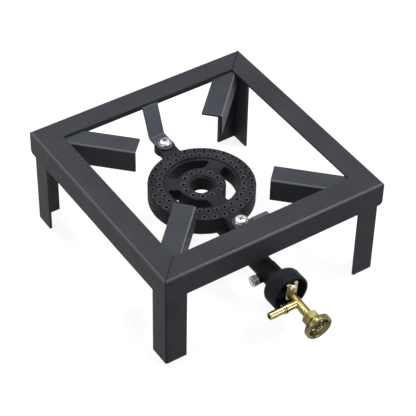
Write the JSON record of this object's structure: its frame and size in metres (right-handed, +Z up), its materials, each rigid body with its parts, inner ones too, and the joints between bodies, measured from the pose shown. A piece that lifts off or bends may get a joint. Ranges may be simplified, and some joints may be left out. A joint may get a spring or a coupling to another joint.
{
  "type": "gas boiling ring on a stand",
  "caption": "Low square angle-iron stand with a round double-ring gas burner hung at its middle, a sliding air mixer and a needle valve with a handwheel at the front.",
  "frame": {"origin": "on the floor, under the middle of the whole outline, halfway between the back rail and the front of the handwheel", "axes": "+X to the right, +Y to the back, away from the valve, +Z up"},
  "size_m": [0.3, 0.3882, 0.136],
  "materials": {
    "painted_iron": "satin black paint over steel, slightly uneven",
    "casting": "sand-cast texture under thin black paint",
    "brass": "turned brass, bright on the flats and dull in the corners",
    "zinc": "bright zinc plating",
    "packing": "plain white packing ring"
  },
  "bodies": {
    "stand": {"front_rail": "painted_iron", "right_rail": "painted_iron", "back_rail": "painted_iron", "left_rail": "painted_iron", "front_left_leg": "painted_iron", "front_right_leg": "painted_iron", "back_right_leg": "painted_iron", "back_left_leg": "painted_iron", "front_left_pot_support": "painted_iron", "front_right_pot_support": "painted_iron", "back_right_pot_support": "painted_iron", "back_left_pot_support": "painted_iron", "leg_welds": "painted_iron", "support_welds": "painted_iron", "strap_welds": "painted_iron", "front_burner_strap": "painted_iron", "back_burner_strap": "painted_iron", "burner_casting": "casting", "strap_screws": "zinc"},
    "mixer": {"mixer_cup": "casting", "valve_body": "brass", "jet_nozzle": "brass", "hose_tail": "brass", "fork_screw": "zinc", "gland_nut": "brass", "gland_packing": "packing"},
    "lock_screw": {"air_lock_screw": "zinc"},
    "spindle": {"valve_spindle": "brass"},
    "wheel": {"handwheel": "brass", "wheel_washer": "zinc", "wheel_nut": "zinc"}
  },
  "joints": [
    {"name": "air_slide", "type": "slide", "parent": "stand", "child": "mixer", "axis": [0, -1, 0], "range_m": [0, 0.006]},
    {"name": "lock_turn", "type": "hinge", "parent": "mixer", "child": "lock_screw", "pos_m": [-0.01818, -0.09537, 0.061], "axis": [-1, 0, 0], "range_deg": [0, 360]},
    {"name": "spindle_rise", "type": "slide", "parent": "mixer", "child": "spindle", "axis": [0, -0.9945, -0.1045], "range_m": [0, 0.0015]},
    {"name": "wheel_turn", "type": "hinge", "parent": "spindle", "child": "wheel", "pos_m": [0, -0.1845, 0.05583], "axis": [0, -0.9945, -0.1045], "range_deg": [0, 540]}
  ],
  "couplings": [
    {"joint": "wheel_turn", "follows": "spindle_rise", "rad_per_m": 6283.2}
  ]
}
